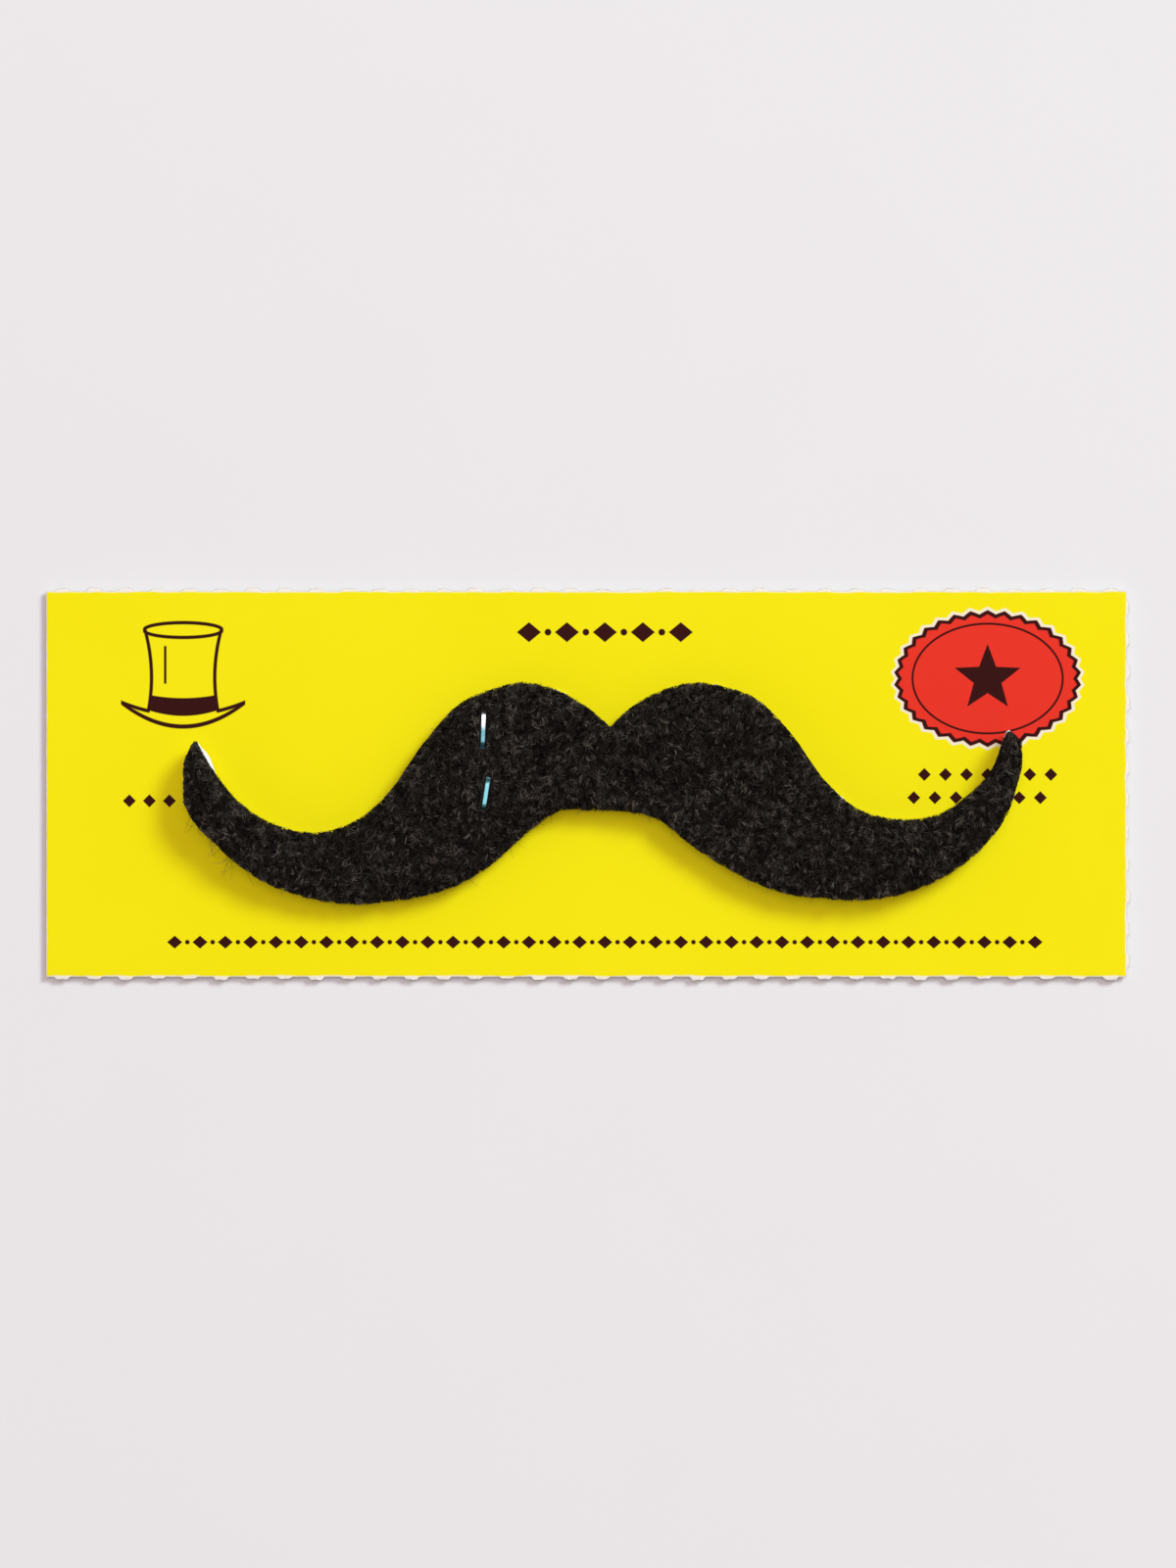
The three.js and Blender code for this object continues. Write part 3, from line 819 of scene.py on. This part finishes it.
def dressAdhesiveFilm():
    finish = Finish("tackyAdhesive")
    strings = finish.noise(1800.0, 4.0, 0.7)
    colour = finish.blend(strings, (0.70, 0.62, 0.42, 1), (0.84, 0.78, 0.62, 1))
    material = finish.finish(baseColour=colour, roughness=0.35 + 0.2 * strings,
                             normal=finish.bump(strings, 0.02 * mm, 0.7))
    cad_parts["adhesive_film"].data.materials.clear()
    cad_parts["adhesive_film"].data.materials.append(material)


# The cloth: knitted ground, pile and loose hairs

ground = {
    "thickness": 0.8 * mm,
    "perRib": 8,
    "across": 32,
    "stitch": 0.52 * mm,  # height of a stitch along a rib
    "loop": 0.05 * mm,  # relief of the stitches
}
pile = {
    "gap": 0.02 * mm,
    "perRib": 8,
    "across": 36,
    "body": 0.62,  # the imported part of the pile, as a share of its depth
    "edgeHair": 0.45 * mm,  # the pile's depth at the cut edge
    "lowShoulder": 1.1 * mm,  # the pile rounds up to its full depth over this width
    "highShoulder": 2.2 * mm,
    "tipTaper": 4.5 * mm,  # and over this length from a wing's end,
    "tipHair": 0.55,  # where its depth is this share
    "ribDip": 0.22 * mm,  # how much lower it is over a groove
    "lowInset": 0.35 * mm,  # the hair hangs over the lower edge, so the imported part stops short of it
    "highInset": 0.12 * mm,
    "trough": 0.6 * mm,  # half width of the groove under the folded legs
    "troughGap": 0.05 * mm,  # between the wire and that groove
    "underWire": 0.9,  # the groove is flat over this share of the wire's radius
    "tone": 0.35,  # how pale its specks are
}
hairs = {
    "count": 44000,
    "length": 1.08 * mm,
    "lengthSpread": 0.12 * mm,
    "rooted": 0.12 * mm,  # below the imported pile
    "root": 0.045 * mm,  # radius
    "rootSpread": (0.75, 1.2),  # thinnest and thickest, against that
    "tip": 0.016 * mm,
    "inGrooves": 0.5,  # how dense the hair is in a groove, against a rib's back
    "lowRows": 3,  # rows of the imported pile's grid along the lower edge
    "lowDenser": 1.7,  # where it is this much denser
    "trimmed": 0.08 * mm,  # how far hair reaches past the cut edge at most
    "clear": 0.42 * mm,  # from the middle of the staple's folded legs
    "clearPast": 0.45 * mm,  # which fades out over this length past their ends
    "acrossRib": 6,  # tufts across a rib
    "tuftLength": 0.27 * mm,  # along a rib
    "gather": 0.6,  # how far a tuft's hairs draw together at their tips
    "gathered": (0, 0.5, 0.9, 1.0),  # share of that from root to tip
    "thirds": (0.34, 0.34, 0.32),  # a hair's three lengths
    "followSlope": (0.5, 0.8, 1.0),  # how much of the surface's normal a hair takes, along X, Y and Z
    "rise": 0.9,  # how stiffly it stands up from its root
    "keep": 0.7,  # and keeps its direction from third to third
    "tipLoose": 1.5,  # how much looser its last third is
    "tipSink": 0.15,
    "lean": 0.17,  # how differently the tufts lean
    "uneven": 0.2,  # how differently long they are
    "loose": 0.16,  # and the hairs in a tuft
    "nap": 0.16,  # how far the hair is combed down
    "paleHair": (0.25, 4),  # how pale the palest hair is, and how rare: the power of an even draw
    "paleTuft": (1.35, 7),
    "seed": 5,
}
hairTop = 2.1 * mm  # the pile's depth above the ground
# The hairs are joined into four pieces, by their place from the left end, 0, to the right one, 1.
hairPieces = {
    "pileLeftWing": (-1.0, 0.32),
    "pileLeftLobe": (0.32, 0.5),
    "pileRightLobe": (0.5, 0.69),
    "pileRightWing": (0.69, 2.0),
}
trim = {
    "notches": 0.4,  # how much of the ribs' notches the trimmed edge keeps
    "pastEnds": 0.5,  # how far hair reaches past a wing's end, as a share of what it may past the cut edge
    "turnDown": 0.5,  # how much what is pushed back sinks
    "offCard": 0.1 * mm,
    "uneven": 0.5 * mm,  # some stays this much farther off
    "withLift": 0.6,  # and farther by this share of the wing's lift
}
# Short hair on the cloth's cut side, which hides the layers
fringe = {
    "count": 6000,
    "length": 0.62 * mm,
    "radius": 0.035 * mm,
    "lowest": 0.15 * mm,  # where it is rooted, above the cloth's underside
    "highest": 1.15 * mm,
    "rooted": 0.05 * mm,  # inside the side
    "sizes": (0.6, 1.2),  # shortest and longest, against the length
    "out": 0.3,  # how far it stands out from the side
    "reach": 0.16 * mm,  # and at most so far past the cut edge
    "loose": 0.5,
    "looseAlong": (0.7, 0.7, 1.0),  # share of that along X, Y and Z
    "bend": 0.25,
    "seed": 41,
}


def rounding(distance, width):  # a quarter circle's rise from 0 to 1
    return np.sqrt(1 - (1 - np.clip(distance / np.maximum(width, 1e-9), 0, 1)) ** 2)


def pileDepth(x, y):  # the hair's depth above the knitted ground
    low, high = cutEdges(x, scalloped=0.0)
    half = (high - low) / 2
    rise = np.minimum(rounding(y - low, np.minimum(pile["lowShoulder"], half)),
                      rounding(high - y, np.minimum(pile["highShoulder"], half)))
    fromTip = rounding(np.minimum(x - leftEnd, rightEnd - x), pile["tipTaper"])
    deep = hairTop * (pile["tipHair"] + (1 - pile["tipHair"]) * fromTip)
    edge = np.minimum(pile["edgeHair"], deep)
    return edge + (deep - edge) * rise - pile["ribDip"] * (1 - ribBack(x)) * rise


def nearestOnLeg(points, leg):  # the closest point of a folded leg, seen from above
    start, end = leg
    along = np.clip(((points - start) @ (end - start)) / np.sum((end - start) ** 2), 0, 1)
    return start + along[..., None] * (end - start)


def pressedLevel(x, y, level):  # lowers the level under the folded legs of the staple
    points = np.stack([x, y], axis=-1)
    for leg in foldedEnds:
        away = np.linalg.norm(points - nearestOnLeg(points, leg), axis=-1)
        under = 1 - rounding(away - wireRadius * pile["underWire"], pile["trough"])
        floor = foldLevel - wireRadius - staple["dip"] - pile["troughGap"]
        level = level - under * np.maximum(level - floor, 0)
    return level


def groundTop(x):
    return clothLow[2] + ground["thickness"] + liftAt(x)


def pileBodyTop(x, y):
    return pressedLevel(x, y, groundTop(x) + pile["body"] * pileDepth(x, y))


def makeKnittedGround():
    x = ribStations(ground["perRib"])
    low, high = cutEdges(x)
    shares = np.linspace(0, 1, ground["across"])

    def stitched(across, y):  # rows of loops, staggered from rib to rib
        wave = np.cos(2 * np.pi * (y / ground["stitch"] + 0.5 * np.abs(ribShare(across) - 0.5)))
        return ground["loop"] * (0.5 * wave - 1) * ribBack(across)

    rings, faces = columnBody(
        x, low, high, shares,
        lambda across, y: clothLow[2] + liftAt(across),
        lambda across, y: groundTop(across) + stitched(across, y),
    )
    piece = buildPiece("knittedGround", rings, faces, [knitFinish()], sharpAngle=0.8)
    print("knitted ground made,", len(piece.data.vertices), "points")
    return piece, x, low, high


def pileBodyGrid():
    x = ribStations(pile["perRib"])
    low, high = cutEdges(x)
    third = (high - low) / 3
    low = low + np.minimum(pile["lowInset"], third)
    high = high - np.minimum(pile["highInset"], third)
    shares = 0.5 - 0.5 * np.cos(np.pi * np.linspace(0, 1, pile["across"]))  # closer together at the edges
    return x, low, high, shares


def makePileBody():
    x, low, high, shares = pileBodyGrid()
    rings, faces = columnBody(
        x, low, high, shares,
        lambda across, y: groundTop(across) + pile["gap"],
        pileBodyTop,
    )
    piece = buildPiece("packedPile", rings, faces, [hairFinish("packedHair", pile["tone"])])
    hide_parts("hair_cloth")
    print("packed pile made,", len(piece.data.vertices), "points")
    return piece


# Strands as one mesh: a three-sided tube along each path that tapers to a point, closed at the root.
def strandMesh(name, paths, rootRadius, tipRadius, shade, material, draw):
    count, steps = paths.shape[:2]
    tangent = unit(np.gradient(paths, axis=1))
    side = unit(np.cross(tangent, draw.standard_normal((count, 1, 3))))
    other = np.cross(tangent, side)
    turn = np.arange(3) * 2 * np.pi / 3
    radius = np.broadcast_to(rootRadius, (count,))[:, None] * np.linspace(1, 0.6, steps - 1)[None, :]
    wheel = np.cos(turn)[:, None] * side[:, :-1, None, :] + np.sin(turn)[:, None] * other[:, :-1, None, :]
    rings = paths[:, :-1, None, :] + radius[:, :, None, None] * wheel
    tips = paths[:, -1:, :] + tangent[:, -1:, :] * tipRadius
    perHair = 3 * (steps - 1) + 1
    points = np.concatenate([rings.reshape(count, -1, 3), tips], axis=1)
    wall = gridQuads(steps - 1, 3, closed=True)
    end = 3 * (steps - 2)
    tip = np.array([(end + k, end + (k + 1) % 3, perHair - 1) for k in range(3)])
    root = np.array([(2, 1, 0)])
    offset = (np.arange(count) * perHair)[:, None, None]
    faces = [(part[None] + offset).reshape(-1, part.shape[1]) for part in (wall, tip, root)]
    values = np.repeat(shade, perHair)
    return buildPiece(name, points, faces, [material], values={"shade": values})


def tuftOf(points):  # the number of the tuft that each point belongs to, and the tuft's middle
    rib = np.interp(points[:, 0], grooveX, np.arange(ribCount + 1)) * hairs["acrossRib"]
    column = np.floor(rib).astype(int)
    row = (points[:, 1] - clothLow[1]) / hairs["tuftLength"] + 0.5 * (column % 2)
    middleX = np.interp((column + 0.5) / hairs["acrossRib"], np.arange(ribCount + 1), grooveX)
    middleY = (np.floor(row) + 0.5 - 0.5 * (column % 2)) * hairs["tuftLength"] + clothLow[1]
    return column * 100 + np.floor(row).astype(int), np.stack([middleX, middleY], axis=-1)


def hairPaths(draw):
    x, low, high, shares = pileBodyGrid()
    y = low[:, None] + (high - low)[:, None] * shares[None, :]
    across = np.broadcast_to(x[:, None], y.shape)
    surface = np.stack([across, y, pileBodyTop(across, y)], axis=-1)
    a, b = surface[:-1, :-1], surface[1:, :-1]
    c, d = surface[:-1, 1:], surface[1:, 1:]
    normal = np.cross(b - a, c - a)
    area = np.linalg.norm(normal, axis=-1)
    normal = normal / area[..., None]
    sparse = hairs["inGrooves"]
    weight = area * (sparse + (1 - sparse) * ribBack((a[..., 0] + b[..., 0]) / 2))
    weight[:, :hairs["lowRows"]] *= hairs["lowDenser"]
    picked = draw.choice(weight.size, size=hairs["count"], p=(weight / weight.sum()).ravel())
    i, j = np.unravel_index(picked, weight.shape)
    s, t = draw.random((2, hairs["count"], 1))
    root = (a[i, j] * (1 - s) + b[i, j] * s) * (1 - t) + (c[i, j] * (1 - s) + d[i, j] * s) * t
    tuft, middle = tuftOf(root)
    shared = draw.normal(0, hairs["lean"], (tuft.max() + 1, 3))[tuft]  # a tuft's hairs lean the same way
    tuftLength = draw.normal(0, hairs["uneven"], tuft.max() + 1)[tuft][:, None]
    out = normal[i, j] * np.array(hairs["followSlope"])
    nap = np.array([0.0, -hairs["nap"], 0.0])
    length = draw.normal(hairs["length"], hairs["lengthSpread"], (hairs["count"], 1)) * (1 + tuftLength)
    jitter = draw.normal(0, hairs["loose"], (3, hairs["count"], 3)) + shared
    sink = np.array([0, 0, -hairs["tipSink"]])
    first = unit(out * hairs["rise"] + nap + jitter[0])
    second = unit(first * hairs["keep"] + nap + jitter[1])
    third = unit(second * hairs["keep"] + nap + jitter[2] * hairs["tipLoose"] + sink)
    p0 = root - normal[i, j] * hairs["rooted"]
    p1 = p0 + first * length * hairs["thirds"][0]
    p2 = p1 + second * length * hairs["thirds"][1]
    p3 = p2 + third * length * hairs["thirds"][2]
    paths = np.stack([p0, p1, p2, p3], axis=1)
    inward = (middle - root[:, :2])[:, None, :] * np.array(hairs["gathered"])[:, None]
    paths[..., :2] += hairs["gather"] * inward
    return paths, tuft


def keptClear(paths):  # keeps each hair on its root's own side of the staple's folded legs
    for start, end in foldedEnds:
        length = np.linalg.norm(end - start)
        along = (end - start) / length
        across = np.array([-along[1], along[0]])
        reach = (paths[..., :2] - start) @ along
        aside = (paths[..., :2] - start) @ across
        side = np.where(aside[:, :1] >= 0, 1.0, -1.0)
        beyond = np.clip((abs(reach - length / 2) - length / 2) / hairs["clearPast"], 0, 1)
        wanted = np.maximum(aside * side, hairs["clear"] * np.sqrt(1 - beyond**2))
        paths[..., :2] += ((wanted - aside * side) * side)[..., None] * across
    return paths


# Trims the hair along the cut edge, and keeps it off the card and clear of the staple.
def tamed(paths, draw, reach):
    pastEnds = trim["pastEnds"] * hairs["trimmed"]
    x = np.clip(paths[..., 0], leftEnd - pastEnds, rightEnd + pastEnds)
    low, high = cutEdges(x, scalloped=trim["notches"])
    margin = reach * draw.uniform(0, 1, (len(paths), 1))
    y = np.clip(paths[..., 1], low - margin, high + margin)
    past = abs(y - paths[..., 1])
    floor = cardHigh[2] + trim["offCard"] + draw.uniform(0, trim["uneven"], (len(paths), 1))
    z = np.maximum(paths[..., 2] - past * trim["turnDown"], floor + trim["withLift"] * liftAt(x))
    return keptClear(np.stack([x, y, z], axis=-1))


def sideLoop():  # the cut edge, once round from the left end along the lower edge: points and outward normals
    x = ribStations(pile["perRib"])
    low, high = cutEdges(x)
    loop = np.concatenate([np.stack([x, low], axis=-1), np.stack([x, high], axis=-1)[::-1]])
    along = unit(np.roll(loop, -1, axis=0) - loop)
    return loop, np.stack([along[:, 1], -along[:, 0]], axis=-1)


def makeFringe():  # from random places round the loop, each hair goes outwards, along the edge and up or down
    draw = np.random.default_rng(fringe["seed"])
    count = fringe["count"]
    loop, outward = sideLoop()
    ahead = np.roll(loop, -1, axis=0)
    length = np.linalg.norm(ahead - loop, axis=1)
    k = draw.choice(len(loop), size=count, p=length / length.sum())
    flat = loop[k] + (ahead[k] - loop[k]) * draw.random((count, 1)) - outward[k] * fringe["rooted"]
    z = clothLow[2] + liftAt(flat[:, 0]) + draw.uniform(fringe["lowest"], fringe["highest"], count)
    root = np.column_stack([flat, z])
    out = np.column_stack([outward[k] * fringe["out"], np.zeros(count)])
    heading = unit(out + draw.normal(0, fringe["loose"], (count, 3)) * np.array(fringe["looseAlong"]))
    bend = draw.normal(0, fringe["bend"], (count, 3))
    size = fringe["length"] * draw.uniform(*fringe["sizes"], (count, 1))
    middle = root + heading * size * 0.5
    paths = np.stack([root, middle, middle + unit(heading + bend) * size * 0.5], axis=1)
    paths = tamed(paths, draw, fringe["reach"])
    shade = draw.random(count) ** 3  # most are dark
    piece = strandMesh("edgeHair", paths, fringe["radius"], hairs["tip"], shade,
                       hairFinish("edgeHair", None), draw)
    print("edge hair made,", count)
    return piece


def makeHairs():
    draw = np.random.default_rng(hairs["seed"])
    paths, tuft = hairPaths(draw)
    paths = tamed(paths, draw, hairs["trimmed"])
    ofTuft = draw.random(tuft.max() + 1)[tuft]
    (paleHair, rareHair), (paleTuft, rareTuft) = hairs["paleHair"], hairs["paleTuft"]
    shade = paleHair * draw.random(len(paths)) ** rareHair + paleTuft * ofTuft**rareTuft
    radius = hairs["root"] * draw.uniform(*hairs["rootSpread"], len(paths))
    material = hairFinish("pileHair", None)
    where = (paths[:, 0, 0] - leftEnd) / (rightEnd - leftEnd)
    pieces = []
    for name, (start, end) in hairPieces.items():
        chosen = (where >= start) & (where < end)
        piece = strandMesh(name, paths[chosen], radius[chosen], hairs["tip"], shade[chosen], material, draw)
        print(name, "made,", int(chosen.sum()), "hairs")
        pieces.append(piece)
    return pieces


# Loose hairs that hang off the cut edge
strays = {
    "radius": 0.018 * mm,
    "spread": 0.35,  # how much their directions differ
    "turning": 1.0,  # and how far each turns along its length
    "steps": 6,
    "insideHigh": 0.2 * mm,  # how far inside the upper edge they are rooted
    "insideLow": 0.3 * mm,
    "heights": (0.3 * mm, 2.0 * mm),  # above the cloth's underside
    "upperLength": 0.45,  # of those on the upper edge, against the lower
    "sink": (0.3, 0.8),  # least and most, as a share of the length
    "sag": 1.3,  # power of the way along, by which it sinks
    "offCard": 1.5,  # radii
    "seed": 23,
}
# Along which stretch of the moustache (0 the left end, 1 the right one), how many, their shortest and
# longest, and the share of them on the upper edge.
strayStretches = [
    {"start": 0.0, "end": 0.08, "count": 20, "short": 0.8 * mm, "long": 2.6 * mm, "upper": 0.0},
    {"start": 0.06, "end": 0.5, "count": 26, "short": 0.5 * mm, "long": 1.3 * mm, "upper": 0.25},
    {"start": 0.5, "end": 1.0, "count": 22, "short": 0.4 * mm, "long": 1.1 * mm, "upper": 0.3},
]


def makeStrayHairs():  # each turns evenly along its length and sinks towards the card
    draw = np.random.default_rng(strays["seed"])
    count = sum(stretch["count"] for stretch in strayStretches)
    column = {
        key: np.concatenate([np.full(stretch["count"], stretch[key]) for stretch in strayStretches])
        for key in ("start", "end", "short", "long", "upper")
    }
    x = leftEnd + (rightEnd - leftEnd) * draw.uniform(column["start"], column["end"])
    low, high = cutEdges(x)
    upper = draw.random(count) < column["upper"]
    y = np.where(upper, high - strays["insideHigh"], low + strays["insideLow"])
    z = clothLow[2] + liftAt(x) + draw.uniform(*strays["heights"], count)
    heading = draw.normal(0, strays["spread"], count) + np.where(upper, np.pi / 2, -np.pi / 2)
    turning = draw.normal(0, strays["turning"], count)
    length = draw.uniform(column["short"], column["long"]) * np.where(upper, strays["upperLength"], 1.0)
    steps = strays["steps"]
    share = np.linspace(0, 1, steps)[None, :]
    angle = heading[:, None] + turning[:, None] * share
    stride = (length / (steps - 1))[:, None]
    px = x[:, None] + np.cumsum(np.cos(angle) * stride, axis=1)
    py = y[:, None] + np.cumsum(np.sin(angle) * stride, axis=1)
    sink = share ** strays["sag"] * draw.uniform(*strays["sink"], count)[:, None] * length[:, None]
    pz = np.maximum(z[:, None] - sink, cardHigh[2] + strays["radius"] * strays["offCard"])
    paths = np.stack([px, py, pz], axis=-1)
    piece = strandMesh("looseHairs", paths, strays["radius"], hairs["tip"], draw.random(count),
                       hairFinish("looseHair", None), draw)
    print("loose hairs made,", count)
    return piece


def hairFinish(name, tone):  # near-black, warm, each hair a little different
    finish = Finish(name)
    speck = finish.noise(5200.0, 2.0, 0.5)
    shade = finish.attribute("shade") if tone is None else speck * tone
    colour = finish.blend(shade, (0.0013, 0.0010, 0.0008, 1), (0.176, 0.153, 0.124, 1))
    return finish.finish(baseColour=colour, roughness=0.5 + 0.2 * speck, specular=0.05,
                         sheen=0.02, sheenRoughness=0.4, sheenTint=(0.9, 0.8, 0.7, 1))


def knitFinish():
    finish = Finish("knittedBlackGround")
    yarn = finish.noise(6000.0, 3.0, 0.6, stretch=(1.0, 0.4, 1.0))
    colour = finish.blend(yarn, (0.008, 0.006, 0.005, 1), (0.030, 0.024, 0.020, 1))
    return finish.finish(baseColour=colour, roughness=0.8, normal=finish.bump(yarn, 0.03 * mm, 0.8))


def makeCloth():
    groundPiece, x, low, high = makeKnittedGround()
    body = makePileBody()
    pileHair = makeHairs()
    edgeHair = makeFringe()
    loose = makeStrayHairs()
    across, tall = rightEnd - leftEnd, high.max() - low.min()
    cutArea = float(np.sum((high - low)[:-1] * np.diff(x)))
    print("cloth cut from", round(across / mm, 1), "by", round(tall / mm, 1), "mm")


# The floor


def makeFloor():
    finish = Finish("paleFloor")
    fine = finish.noise(60.0, 2.0, 0.5)
    base = view["floorColour"]
    darker = tuple(channel * view["floorMottle"] for channel in base[:3]) + (1.0,)
    material = finish.finish(baseColour=finish.blend(fine, base, darker), roughness=0.8)
    half = view["floorSide"] / 2
    mesh = bpy.data.meshes.new("floor")
    corners = [(-half, -half, 0), (half, -half, 0), (half, half, 0), (-half, half, 0)]
    mesh.from_pydata(corners, [], [(0, 1, 2, 3)])
    mesh.materials.append(material)
    floor = bpy.data.objects.new("floor", mesh)
    bpy.context.scene.collection.objects.link(floor)


setUpView()
print("view set")
makeFloor()
makeCardTicket()
makeReleasePaper()
dressAdhesiveFilm()
makeStaple()
makeCloth()
